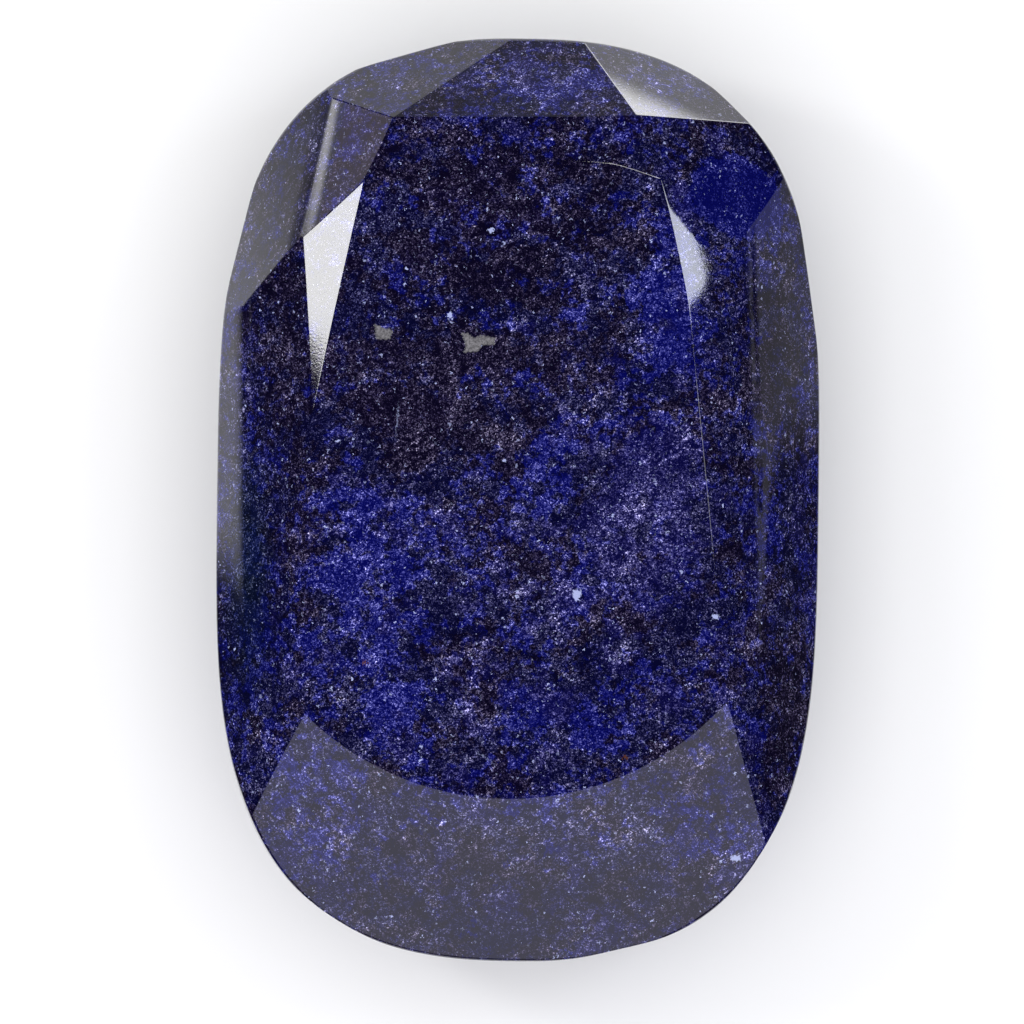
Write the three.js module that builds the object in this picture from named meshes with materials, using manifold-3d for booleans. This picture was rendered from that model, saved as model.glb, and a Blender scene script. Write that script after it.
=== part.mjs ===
// A large sapphire cut as one faceted cushion, lying on its back facet.
// Millimetres, +Z up. X runs across the stone and Y along it.
// The origin is the middle of the back facet, which is the face the stone rests on.
//
// The stone is shaped as a cutter shapes it: a preform with the cushion outline and a
// slightly swollen wall, and then flat facets ground on it one after another.

import * as THREE from 'three';
import { mergeVertices } from 'three/addons/utils/BufferGeometryUtils.js';
import Module from 'manifold-3d';

const wasm = await Module();
wasm.setup();

// Driving dimensions
const stoneLength = 110;      // along Y, over the girdle
const stoneWidth = 71.9;      // along X, over the girdle, before the outline's small turn
const stoneHeight = 39;       // from the back facet to the table, the large front facet
const girdleHeight = 23;      // level of the widest outline above the back facet

// The outline is the curve |x / halfWidth|^sideExponent + |y / halfLength|^endExponent = 1.
const sideExponent = 2.53;
const endExponent = 3.53;
const outlineTurn = -0.74;    // degrees; the real outline stands slightly askew
const outlineSteps = 96;

// The wall swells outward: it is this much narrower at the table's and the back's level.
const crownInset = 1.3;
const backInset = 2.6;
const crownRings = 7;
const backRings = 6;

// A facet's facing is the compass direction it looks to, in degrees from +X towards +Y.
// Its slope is its angle to the table, and its reach is how far from the stone's middle
// it meets the level of the table (crown facets) or of the back facet (back facets).
const crownFacets = [
  // far end: a narrow shelf in three strips, the end facet and the two corners beside it
  { facing: 106, slope: 4, reach: 40.9 },
  { facing: 90.5, slope: 5, reach: 39.9 },
  { facing: 75, slope: 6, reach: 40.9 },
  { facing: 90, slope: 41.5, reach: 44.4 },
  { facing: 101, slope: 51, reach: 46.5 },
  { facing: 64, slope: 55.5, reach: 46.2 },
  // left shoulder, and the bright blade beside the table
  { facing: 160.5, slope: 56, reach: 33 },
  { facing: 150.5, slope: 32.5, reach: 34.15 },
  { facing: 167.5, slope: 19.5, reach: 25.8 },
  // left side, in two strips that steepen towards the girdle
  { facing: 177, slope: 41.5, reach: 24.7 },
  { facing: 178, slope: 50.5, reach: 26.75 },
  // right shoulder, and the long narrow facet beside the table
  { facing: 29.5, slope: 34.5, reach: 33.3 },
  { facing: 12.5, slope: 18, reach: 24.6 },
  { facing: 5.5, slope: 19, reach: 22.2 },
  // right side, in three strips that steepen towards the girdle, and its near corner
  { facing: 2, slope: 41.5, reach: 23.65 },
  { facing: 2, slope: 45.5, reach: 24.15 },
  { facing: 1, slope: 55, reach: 26 },
  { facing: -8, slope: 41, reach: 27.7 },
  // sliver between the left side and the near end
  { facing: -167, slope: 29.5, reach: 30 },
];

// The near end is ground as part of a cone, so its edge with the table is an arc.
const coneMiddle = { x: -0.95, y: -1.3 };
const coneRadius = 33.7;
const coneSlope = 21;
const coneFirstFacing = -142;
const coneLastFacing = -38;
const coneStrips = 14;

// Long flats on the wall: each takes this much off the outline at the girdle.
const wallSlope = 89;
const wallFlats = [
  { facing: 8, cut: 0.45 },
  { facing: 44, cut: 0.35 },
  { facing: 106, cut: 0.65 },
  { facing: 166, cut: 0.45 },
  { facing: 237, cut: 0.4 },
  { facing: 283, cut: 0.6 },
  { facing: 327, cut: 0.4 },
];

// Back facets: a lower tier that meets the wall and a flatter tier round the back facet.
// The lift is the height at which a facet of the lower tier meets the girdle outline.
const backSlope = 48;
const lowerTier = [
  { facing: 3, lift: 20.5 },
  { facing: 34, lift: 19 },
  { facing: 61, lift: 20 },
  { facing: 91, lift: 19.5 },
  { facing: 121, lift: 18.5 },
  { facing: 148, lift: 20 },
  { facing: 179, lift: 21 },
  { facing: 211, lift: 19.5 },
  { facing: 241, lift: 18.5 },
  { facing: 268, lift: 20 },
  { facing: 300, lift: 19.5 },
  { facing: 328, lift: 18.5 },
];
const flatTierSlope = 20;
const flatTier = [
  { facing: 0, reach: 15.5 },
  { facing: 42, reach: 30 },
  { facing: 88, reach: 34 },
  { facing: 137, reach: 29 },
  { facing: 182, reach: 15 },
  { facing: 223, reach: 30 },
  { facing: 272, reach: 35 },
  { facing: 318, reach: 29.5 },
];

const degrees = THREE.MathUtils.degToRad;
const wheelSize = 260;        // face of the grinding block that takes a facet off
const wheelDepth = 90;

// A power that keeps the sign of its base, for the outline's four quarters
function signedPower(value, exponent) {
  return Math.sign(value) * Math.abs(value) ** exponent;
}

// Point of the outline at a parameter angle, drawn inwards by an inset
function outlinePoint(angle, inset) {
  const x = (stoneWidth / 2 - inset) * signedPower(Math.cos(angle), 2 / sideExponent);
  const y = (stoneLength / 2 - inset) * signedPower(Math.sin(angle), 2 / endExponent);
  return new THREE.Vector2(x, y).rotateAround(new THREE.Vector2(), degrees(outlineTurn));
}

// How far the outline reaches in a compass direction
function outlineReach(facing) {
  const direction = new THREE.Vector2(Math.cos(degrees(facing)), Math.sin(degrees(facing)));
  let reach = 0;
  for (let step = 0; step < outlineSteps; step += 1) {
    const point = outlinePoint((2 * Math.PI * step) / outlineSteps, 0);
    reach = Math.max(reach, point.dot(direction));
  }
  return reach;
}

// Levels of the preform with their insets, from the back to the table
function wallLevels() {
  const levels = [];
  for (let ring = 0; ring < backRings; ring += 1) {
    const away = 1 - ring / backRings;
    levels.push({ z: girdleHeight * (1 - away), inset: backInset * away ** 2 });
  }
  for (let ring = 0; ring <= crownRings; ring += 1) {
    const away = ring / crownRings;
    const z = girdleHeight + (stoneHeight - girdleHeight) * away;
    levels.push({ z, inset: crownInset * away ** 2 });
  }
  return levels;
}

// The preform: rings of the outline, one above another, closed by two flat ends
function preformGeometry() {
  const levels = wallLevels();
  const positions = [];
  for (const level of levels) {
    for (let step = 0; step < outlineSteps; step += 1) {
      const point = outlinePoint((2 * Math.PI * step) / outlineSteps, level.inset);
      positions.push(point.x, point.y, level.z);
    }
  }
  const faces = [];
  for (let ring = 0; ring < levels.length - 1; ring += 1) {
    for (let step = 0; step < outlineSteps; step += 1) {
      const next = (step + 1) % outlineSteps;
      const low = ring * outlineSteps;
      const high = low + outlineSteps;
      faces.push(low + step, low + next, high + next);
      faces.push(low + step, high + next, high + step);
    }
  }
  const bottomCentre = positions.length / 3;
  positions.push(0, 0, 0);
  positions.push(0, 0, stoneHeight);
  const topRing = (levels.length - 1) * outlineSteps;
  for (let step = 0; step < outlineSteps; step += 1) {
    const next = (step + 1) % outlineSteps;
    faces.push(bottomCentre, next, step);
    faces.push(bottomCentre + 1, topRing + step, topRing + next);
  }
  const geometry = new THREE.BufferGeometry();
  geometry.setAttribute('position', new THREE.Float32BufferAttribute(positions, 3));
  geometry.setIndex(faces);
  return geometry;
}

// A closed geometry as a solid that can be cut
function solidFrom(geometry) {
  const bare = geometry.clone();
  bare.deleteAttribute('normal');
  bare.deleteAttribute('uv');
  const merged = mergeVertices(bare, 1e-4);
  const mesh = new wasm.Mesh({
    numProp: 3,
    vertProperties: new Float32Array(merged.attributes.position.array),
    triVerts: new Uint32Array(merged.index.array),
  });
  return new wasm.Manifold(mesh);
}

// The cut solid as a geometry with flat shading
function geometryFrom(solid) {
  const mesh = solid.getMesh();
  const geometry = new THREE.BufferGeometry();
  geometry.setAttribute('position', new THREE.BufferAttribute(mesh.vertProperties, 3));
  geometry.setIndex(new THREE.BufferAttribute(mesh.triVerts, 1));
  geometry.computeVertexNormals();
  return geometry;
}

// The block of stone that a crown facet takes off, lying on the facet's plane
function crownWaste({ facing, slope, reach }) {
  const block = new THREE.BoxGeometry(wheelSize, wheelSize, wheelDepth);
  block.translate(0, 0, wheelDepth / 2);
  block.rotateY(degrees(slope));
  block.translate(reach, 0, stoneHeight);
  block.rotateZ(degrees(facing));
  return block;
}

// The block that a back facet takes off, hanging under the facet's plane
function backWaste({ facing, slope, reach }) {
  const block = new THREE.BoxGeometry(wheelSize, wheelSize, wheelDepth);
  block.translate(0, 0, -wheelDepth / 2);
  block.rotateY(-degrees(slope));
  block.translate(reach, 0, 0);
  block.rotateZ(degrees(facing));
  return block;
}

// Flat strips that stand in for the cone of the near end
function coneFacets() {
  const strips = [];
  for (let strip = 0; strip < coneStrips; strip += 1) {
    const share = strip / (coneStrips - 1);
    const facing = coneFirstFacing + (coneLastFacing - coneFirstFacing) * share;
    const across = Math.cos(degrees(facing)) * coneMiddle.x;
    const along = Math.sin(degrees(facing)) * coneMiddle.y;
    strips.push({ facing, slope: coneSlope, reach: coneRadius + across + along });
  }
  return strips;
}

// Flats of the wall, carried up to the table's level where a facet's reach is counted
function wallFacets() {
  const lean = (stoneHeight - girdleHeight) / Math.tan(degrees(wallSlope));
  return wallFlats.map(({ facing, cut }) => ({
    facing,
    slope: wallSlope,
    reach: outlineReach(facing) - cut - lean,
  }));
}

// Facets of the back: each lower one runs down from the girdle outline at its lift
function backFacets() {
  const lower = lowerTier.map(({ facing, lift }) => ({
    facing,
    slope: backSlope,
    reach: outlineReach(facing) - lift / Math.tan(degrees(backSlope)),
  }));
  const flat = flatTier.map(({ facing, reach }) => ({ facing, slope: flatTierSlope, reach }));
  return [...lower, ...flat];
}

// Grinds every facet on the preform
function cutStone() {
  let stone = solidFrom(preformGeometry());
  for (const facet of [...crownFacets, ...coneFacets(), ...wallFacets()]) {
    stone = stone.subtract(solidFrom(crownWaste(facet)));
  }
  for (const facet of backFacets()) {
    stone = stone.subtract(solidFrom(backWaste(facet)));
  }
  return geometryFrom(stone);
}

const polishedSapphire = new THREE.MeshStandardMaterial({
  color: 0x201f4a,
  roughness: 0.12,
  metalness: 0,
  flatShading: true,
});

const sapphire = new THREE.Mesh(cutStone(), polishedSapphire);
sapphire.name = 'sapphire';

const part = new THREE.Group();
part.add(sapphire);

export default part;
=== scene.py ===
"""A large opaque sapphire, cut as a long cushion and polished, on a plain pale floor.

Laid out as a Blender add-on and run as a script. Lengths are metres unless a name says mm.
X runs across the stone, Y along it, and +Z points from its back facet to its table.
"""

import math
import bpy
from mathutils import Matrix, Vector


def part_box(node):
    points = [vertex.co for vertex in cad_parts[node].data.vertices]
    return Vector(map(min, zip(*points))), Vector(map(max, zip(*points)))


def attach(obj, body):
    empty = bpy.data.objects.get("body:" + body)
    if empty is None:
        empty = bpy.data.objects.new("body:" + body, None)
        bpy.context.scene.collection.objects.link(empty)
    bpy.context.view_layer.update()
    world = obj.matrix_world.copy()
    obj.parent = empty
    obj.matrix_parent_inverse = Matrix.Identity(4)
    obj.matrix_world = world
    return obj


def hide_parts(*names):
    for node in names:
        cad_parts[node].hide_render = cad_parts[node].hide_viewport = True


bl_info = {
    "name": "Cut Sapphire",
    "version": (1, 0, 0),
    "blender": (4, 5, 0),
    "location": "View3D > Sidebar > Sapphire",
    "description": "Makes a large cut sapphire with its grain, and a plain studio round it",
    "category": "Add Mesh",
}

import bmesh
import bpy
import numpy as np
from bpy.props import FloatProperty, FloatVectorProperty, IntProperty, PointerProperty

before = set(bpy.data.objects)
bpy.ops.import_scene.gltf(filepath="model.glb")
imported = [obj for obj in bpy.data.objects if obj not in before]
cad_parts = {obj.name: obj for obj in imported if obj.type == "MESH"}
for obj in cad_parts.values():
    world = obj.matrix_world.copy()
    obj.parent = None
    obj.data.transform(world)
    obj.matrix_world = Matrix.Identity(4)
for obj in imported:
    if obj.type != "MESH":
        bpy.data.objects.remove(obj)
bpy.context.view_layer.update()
STONE_LOW, STONE_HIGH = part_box("sapphire")

MM = 0.001

# The preform: a cushion outline, |x / half width| ^ side + |y / half length| ^ end = 1
SIDE_EXPONENT = 2.53
END_EXPONENT = 3.53
OUTLINE_TURN = math.radians(-0.74)
TURN_X, TURN_Y = math.cos(OUTLINE_TURN), math.sin(OUTLINE_TURN)
CROWN_INSET = 1.3 * MM
BACK_INSET = 2.6 * MM
POLISH_ALLOWANCE = 0.02 * MM

# Crown facets: name, facing in degrees from +X towards +Y, slope in degrees to the table,
# and reach in mm from the stone's middle, measured at the table's level
CROWN_FACETS = (
    ("shelf_left", 106, 4, 40.9),
    ("shelf_middle", 90.5, 5, 39.9),
    ("shelf_right", 75, 6, 40.9),
    ("end_middle", 90, 41.5, 44.4),
    ("end_left", 101, 51, 46.5),
    ("end_right", 64, 55.5, 46.2),
    ("left_shoulder_low", 160.5, 56, 33),
    ("left_shoulder_high", 150.5, 32.5, 34.15),
    ("left_blade", 167.5, 19.5, 25.8),
    ("left_side_high", 177, 41.5, 24.7),
    ("left_side_low", 178, 50.5, 26.75),
    ("right_shoulder", 29.5, 34.5, 33.3),
    ("right_blade_far", 12.5, 18, 24.6),
    ("right_blade_near", 5.5, 19, 22.2),
    ("right_side_high", 2, 41.5, 23.65),
    ("right_side_middle", 2, 45.5, 24.15),
    ("right_side_low", 1, 55, 26),
    ("right_corner", -8, 41, 27.7),
    ("left_sliver", -167, 29.5, 30),
)

# The near end: part of a cone whose axis stands on the table
CONE_MIDDLE = (-0.95 * MM, -1.3 * MM)
CONE_RADIUS = 33.7 * MM
CONE_SLOPE = math.radians(21)
CONE_FACING = math.radians(-90)
CONE_HALF_FAN = math.radians(52)
CONE_CUTS = 64

# Long flats on the wall: facing in degrees, and mm taken off the outline
WALL_SLOPE = 89
WALL_FLATS = ((8, 0.45), (44, 0.35), (106, 0.65), (166, 0.45), (237, 0.4), (283, 0.6), (327, 0.4))

# Back facets. The lower tier gives facing and the height in mm where it meets the girdle
# outline, the flat tier facing and reach in mm at the level of the back facet.
LOWER_TIER_SLOPE = 48
LOWER_TIER = (
    (3, 20.5), (34, 19), (61, 20), (91, 19.5), (121, 18.5), (148, 20),
    (179, 21), (211, 19.5), (241, 18.5), (268, 20), (300, 19.5), (328, 18.5),
)
FLAT_TIER_SLOPE = 20
FLAT_TIER = (
    (0, 15.5), (42, 30), (88, 34), (137, 29), (182, 15), (223, 30), (272, 35), (318, 29.5),
)

# Edges that polishing has rolled over a broad band: the two facets and half the band in mm
SOFT_EDGES = (
    ("shelf_left", "shelf_middle", 5),
    ("shelf_middle", "shelf_right", 5),
    ("left_shoulder_low", "left_shoulder_high", 3.0),
    ("right_shoulder", "right_blade_far", 2.2),
    ("left_side_high", "left_side_low", 3),
    ("right_blade_far", "right_blade_near", 2.5),
    ("right_side_high", "right_side_middle", 2.5),
    ("right_side_middle", "right_side_low", 2.5),
)
WALL_FLAT_BAND = 3 * MM
BAND_STEPS = (1.0, 0.66, 0.33)

# Two shallow chips on the table, as outlines in mm round their floors
CHIPS = (
    ((-16.9, 20.7), (-16.0, 20.3), (-14.7, 19.9), (-15.0, 18.8), (-16.7, 18.8)),
    (
        (-6.7, 19.6), (-6.0, 19.6), (-5.2, 19.0), (-4.4, 19.4), (-2.6, 19.0),
        (-2.8, 18.1), (-4.2, 18.1), (-4.7, 17.4), (-6.4, 17.2), (-6.2, 18.2),
    ),
)
CHIP_MARGIN = 0.5 * MM
CHIP_STEP = 0.12 * MM
CHIP_SLOPE = 0.22 * MM
CHIP_NUDGE = 0.01 * MM
CHIP_MASK_GAIN = 3
TABLE_LAYER = 0.15 * MM

# Hand polishing leaves each facet slightly domed and wavy
DOME_HEIGHT = 0.03 * MM
DOME_LIMIT = 1.6
WAVES = ((11.0, (0.8, 0.5, 0.3), 0.4), (7.5, (-0.5, 0.8, 0.4), 1.9), (14.0, (0.2, -0.9, 0.5), 3.1))
WAVE_HEIGHT = 0.0022 * MM
FACET_GRID = 1.7 * MM
SHORTEST_EDGE = 0.02 * MM
LARGEST_SNAP = 0.2
CUT_TOLERANCE = 1e-7

BACK_PLANE = "back"
TABLE_PLANE = "table"


class SapphireShape(bpy.types.PropertyGroup):
    """Sizes of the stone"""

    length: FloatProperty(
        name="Length", description="Length over the girdle", default=0.110, unit="LENGTH")
    width: FloatProperty(
        name="Width", description="Width over the girdle", default=0.0719, unit="LENGTH")
    height: FloatProperty(
        name="Height", description="From the back facet to the table",
        default=STONE_HIGH.z - STONE_LOW.z, unit="LENGTH")
    girdle: FloatProperty(
        name="Girdle height", description="Level of the widest outline", default=0.023,
        unit="LENGTH")
    edge_band: FloatProperty(
        name="Edge rounding", description="Half the width of the rounding on a facet's edge",
        default=0.00018, unit="LENGTH")
    rim_band: FloatProperty(
        name="Rim rounding", description="Half the width of the rounding where facets meet the wall",
        default=0.00045, unit="LENGTH")
    chip_depth: FloatProperty(
        name="Chip depth", description="Depth of the two chips on the table", default=0.00014,
        unit="LENGTH")
    columns: IntProperty(
        name="Wall columns", description="Steps round the wall", default=400)
    rows: IntProperty(name="Wall rows", description="Steps up the wall", default=48)


class SapphireFinish(bpy.types.PropertyGroup):
    """Colours and polish of the stone"""

    grain: FloatProperty(
        name="Grain", description="Size of a grain", default=0.0005, unit="LENGTH")
    polish: FloatProperty(
        name="Polish", description="Roughness of the polished surface", default=0.045,
        subtype="FACTOR")
    index: FloatProperty(
        name="Index", description="Refractive index of corundum", default=1.77)
    chip_colour: FloatVectorProperty(
        name="Chip", description="Colour of the matte chips", subtype="COLOR",
        default=(0.13, 0.125, 0.135))
    fleck_colour: FloatVectorProperty(
        name="Flecks", description="Colour of the pale mineral flecks", subtype="COLOR",
        default=(0.44, 0.49, 0.80))


class SapphireStudio(bpy.types.PropertyGroup):
    """Floor, lights and camera"""

    floor_colour: FloatVectorProperty(
        name="Floor", description="Colour of the plain floor", subtype="COLOR",
        default=(0.93, 0.93, 0.93))
    camera_height: FloatProperty(
        name="Camera height", description="From the girdle's level to the camera", default=0.85,
        unit="LENGTH")
    fill: FloatProperty(
        name="Fill light", description="Strength of the soft light from above", default=2.0)


def signed_power(value, exponent):
    """A power that keeps the sign of its base."""
    return np.sign(value) * np.abs(value) ** exponent


def wall_inset(z, shape):
    """How far the wall stands inside the girdle outline at a level, and its rate of change.

    It grows with the square of the way from the girdle to the table or to the back facet.
    """
    above = (z - shape.girdle) / (shape.height - shape.girdle)
    below = (shape.girdle - z) / shape.girdle
    high = z >= shape.girdle
    inset = np.where(high, CROWN_INSET * above**2, BACK_INSET * below**2)
    rate = np.where(
        high,
        2 * CROWN_INSET * above / (shape.height - shape.girdle),
        -2 * BACK_INSET * below / shape.girdle,
    )
    return inset + POLISH_ALLOWANCE, rate


def outline(angle, inset, shape):
    """Points of the cushion outline: half sizes less the inset, times a power of cos and sin."""
    x = (shape.width / 2 - inset) * signed_power(np.cos(angle), 2 / SIDE_EXPONENT)
    y = (shape.length / 2 - inset) * signed_power(np.sin(angle), 2 / END_EXPONENT)
    return x * TURN_X - y * TURN_Y, x * TURN_Y + y * TURN_X


def preform(shape):
    """The preform's wall as a grid: angle round the outline by level, closed by two flat ends."""
    angle = np.linspace(0, 2 * np.pi, shape.columns, endpoint=False)
    level = np.linspace(0, shape.height, shape.rows + 1)
    angles, levels = np.meshgrid(angle, level)
    x, y = outline(angles, wall_inset(levels, shape)[0], shape)
    points = np.stack((x, y, levels), axis=-1).reshape(-1, 3)
    column = np.arange(shape.columns)
    after = (column + 1) % shape.columns
    row = np.arange(shape.rows)[:, None] * shape.columns
    quads = np.stack(
        (row + column, row + after, row + shape.columns + after, row + shape.columns + column),
        axis=-1,
    ).reshape(-1, 4)
    top = shape.rows * shape.columns + column
    return points, quads.tolist() + [column[::-1].tolist(), top.tolist()]


def facing_vector(facing, slope, up=1):
    """Unit normal of a facet: it leans from the vertical by its slope, towards its facing."""
    facing, slope = math.radians(facing), math.radians(slope)
    return (
        math.sin(slope) * math.cos(facing),
        math.sin(slope) * math.sin(facing),
        up * math.cos(slope),
    )


class Facets:
    """Every flat facet as a name, an outward normal and a distance from the origin."""

    def __init__(self, shape):
        self.names, self.normals, self.offsets = [], [], []
        self.add(TABLE_PLANE, (0, 0, 1), (0, 0, shape.height))
        self.add(BACK_PLANE, (0, 0, -1), (0, 0, 0))
        for name, facing, slope, reach in CROWN_FACETS:
            self.add_at(name, facing, slope, reach * MM, shape.height)
        lean = (shape.height - shape.girdle) / math.tan(math.radians(WALL_SLOPE))
        for number, (facing, cut) in enumerate(WALL_FLATS):
            reach = outline_reach(facing, shape) - cut * MM - lean
            self.add_at(f"wall_flat_{number}", facing, WALL_SLOPE, reach, shape.height)
        fall = math.tan(math.radians(LOWER_TIER_SLOPE))
        for number, (facing, lift) in enumerate(LOWER_TIER):
            reach = outline_reach(facing, shape) - lift * MM / fall
            self.add_at(f"lower_tier_{number}", facing, LOWER_TIER_SLOPE, reach, 0, up=-1)
        for number, (facing, reach) in enumerate(FLAT_TIER):
            self.add_at(f"flat_tier_{number}", facing, FLAT_TIER_SLOPE, reach * MM, 0, up=-1)
        self.normals = np.array(self.normals)
        self.offsets = np.array(self.offsets)
        self.middles, self.domes = {}, {}
        self.cone = len(self.names)
        self.wall = self.cone + 1

    def add(self, name, normal, point):
        self.names.append(name)
        self.normals.append(normal)
        self.offsets.append(float(np.dot(normal, point)))

    def add_at(self, name, facing, slope, reach, level, up=1):
        turn = math.radians(facing)
        point = (reach * math.cos(turn), reach * math.sin(turn), level)
        self.add(name, facing_vector(facing, slope, up), point)

    def number(self, name):
        return self.names.index(name)


def outline_reach(facing, shape):
    """How far the girdle outline reaches in a compass direction."""
    angle = np.linspace(0, 2 * np.pi, 4 * shape.columns)
    x, y = outline(angle, 0, shape)
    turn = math.radians(facing)
    return float(np.max(x * math.cos(turn) + y * math.sin(turn)))


def cone_distance(points, shape):
    """Distance outside the near end's cone, and its normal.

    Beyond the fan's last facing the surface goes on as the flat that touches the cone there.
    """
    x, y = points[:, 0] - CONE_MIDDLE[0], points[:, 1] - CONE_MIDDLE[1]
    away = np.angle(np.exp(1j * (np.arctan2(y, x) - CONE_FACING)))
    facing = CONE_FACING + np.clip(away, -CONE_HALF_FAN, CONE_HALF_FAN)
    normal = np.stack(
        (
            math.sin(CONE_SLOPE) * np.cos(facing),
            math.sin(CONE_SLOPE) * np.sin(facing),
            np.full(len(points), math.cos(CONE_SLOPE)),
        ),
        axis=-1,
    )
    reach = x * np.cos(facing) + y * np.sin(facing) - CONE_RADIUS
    rise = points[:, 2] - shape.height
    return math.sin(CONE_SLOPE) * reach + math.cos(CONE_SLOPE) * rise, normal


def wall_distance(points, shape):
    """Distance outside the swollen wall, and its normal: the outline's formula less one,
    divided by the length of its gradient."""
    x = points[:, 0] * TURN_X + points[:, 1] * TURN_Y
    y = points[:, 1] * TURN_X - points[:, 0] * TURN_Y
    inset, rate = wall_inset(points[:, 2], shape)
    half_x, half_y = shape.width / 2 - inset, shape.length / 2 - inset
    part_x, part_y = np.abs(x) / half_x, np.abs(y) / half_y
    slope_x = SIDE_EXPONENT * part_x ** (SIDE_EXPONENT - 1) / half_x * np.sign(x)
    slope_y = END_EXPONENT * part_y ** (END_EXPONENT - 1) / half_y * np.sign(y)
    slope_z = rate * (
        SIDE_EXPONENT * part_x**SIDE_EXPONENT / half_x + END_EXPONENT * part_y**END_EXPONENT / half_y
    )
    gradient = np.stack(
        (slope_x * TURN_X - slope_y * TURN_Y, slope_x * TURN_Y + slope_y * TURN_X, slope_z), axis=-1
    )
    length = np.maximum(np.linalg.norm(gradient, axis=1), 1e-6)
    value = part_x**SIDE_EXPONENT + part_y**END_EXPONENT - 1
    return value / length, gradient / length[:, None]


def facet_distance(points, number, facets):
    """Distance outside a facet, and its normal.

    Hand polishing leaves a facet slightly domed: its surface falls away from the plane by the
    dome's height times the square of the way from the facet's middle to its border.
    """
    normal = facets.normals[number]
    distance = points @ normal - facets.offsets[number]
    normals = np.broadcast_to(normal, points.shape)
    for axis, half in facets.domes.get(number, ()):
        way = (points - facets.middles[number]) @ axis / half
        held = np.clip(way, -DOME_LIMIT, DOME_LIMIT)
        distance = distance + DOME_HEIGHT * held**2
        lean = np.where(held == way, 2 * DOME_HEIGHT * way / half, 0)
        normals = normals + lean[:, None] * axis
    return distance, normals / np.linalg.norm(normals, axis=1)[:, None]


def surface_distance(points, number, facets, shape):
    """Distance outside a facet, the cone or the wall, and its normal."""
    if number == facets.cone:
        return cone_distance(points, shape)
    if number == facets.wall:
        return wall_distance(points, shape)
    return facet_distance(points, number, facets)


def band_widths(facets, shape):
    """Half the width of the rounding between each two surfaces, as a square table."""
    count = len(facets.names) + 2
    widths = np.full((count, count), shape.edge_band)
    widths[facets.wall, :] = widths[:, facets.wall] = shape.rim_band
    for first, second, half_band in SOFT_EDGES:
        one, two = facets.number(first), facets.number(second)
        widths[one, two] = widths[two, one] = half_band * MM
    for number in range(len(WALL_FLATS)):
        flat = facets.number(f"wall_flat_{number}")
        widths[flat, facets.wall] = widths[facets.wall, flat] = WALL_FLAT_BAND
    return widths


def grind(bm, facets, face_of):
    """Cuts each facet's plane through the preform and closes the cut with one flat face."""

    def cut(normal, offset, number):
        geometry = bm.verts[:] + bm.edges[:] + bm.faces[:]
        result = bmesh.ops.bisect_plane(
            bm, geom=geometry, dist=CUT_TOLERANCE, plane_co=normal * offset, plane_no=normal,
            clear_outer=True)
        rim = [item for item in result["geom_cut"] if isinstance(item, bmesh.types.BMEdge)]
        if len(rim) < 3:
            return False
        for face in bmesh.ops.edgeloop_fill(bm, edges=rim)["faces"]:
            face[face_of] = number
        return True

    for number, (name, normal) in enumerate(zip(facets.names, facets.normals)):
        if name not in (TABLE_PLANE, BACK_PLANE) and not cut(normal, facets.offsets[number], number):
            raise RuntimeError(f"facet {name} misses the stone")
    height = facets.offsets[facets.number(TABLE_PLANE)]
    for facing in np.linspace(-CONE_HALF_FAN, CONE_HALF_FAN, CONE_CUTS) + CONE_FACING:
        normal = np.array(facing_vector(math.degrees(facing), math.degrees(CONE_SLOPE)))
        point = np.array((
            CONE_MIDDLE[0] + CONE_RADIUS * math.cos(facing),
            CONE_MIDDLE[1] + CONE_RADIUS * math.sin(facing),
            height,
        ))
        cut(normal, float(normal @ point), facets.cone)


def split_along(faces, value_at):
    """Splits the faces along the line where a value given at their corners passes zero."""
    corners = list({vert for face in faces for vert in face.verts})
    values = dict(zip(corners, value_at(np.array([vert.co for vert in corners]))))
    line = set()
    for edge in {edge for face in faces for edge in face.edges}:
        first, second = edge.verts
        one, two = values[first], values[second]
        if one * two > 0:
            continue
        share = one / (one - two) if one != two else 0.0
        shortest = min(LARGEST_SNAP, SHORTEST_EDGE / max(edge.calc_length(), SHORTEST_EDGE))
        if share < shortest:
            line.add(first)
        elif share > 1 - shortest:
            line.add(second)
        else:
            line.add(bmesh.utils.edge_split(edge, first, share)[1])
    for face in faces:
        ends = [vert for vert in face.verts if vert in line]
        if len(ends) < 2:
            continue
        pairs = [(one, two) for n, one in enumerate(ends) for two in ends[n + 1:]]
        one, two = max(pairs, key=lambda pair: (pair[0].co - pair[1].co).length)
        if not any(one in edge.verts and two in edge.verts for edge in face.edges):
            bmesh.utils.face_split(face, one, two)


def measure_domes(bm, facets, face_of):
    """Finds each facet's middle and its half sizes, along its level line and down its slope."""
    back = facets.number(BACK_PLANE)
    for face in bm.faces:
        number = face[face_of]
        if number >= facets.cone or number == back:
            continue
        normal = facets.normals[number]
        level = np.array((-normal[1], normal[0], 0.0))
        level = level / np.linalg.norm(level) if level.any() else np.array((1.0, 0.0, 0.0))
        down = np.cross(normal, level)
        corners = np.array([vert.co for vert in face.verts])
        middle = np.zeros(3)
        domes = []
        for axis in (level, down):
            way = corners @ axis
            middle = middle + axis * (way.max() + way.min()) / 2
            domes.append((axis, (way.max() - way.min()) / 2))
        facets.middles[number] = middle
        facets.domes[number] = domes


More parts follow.
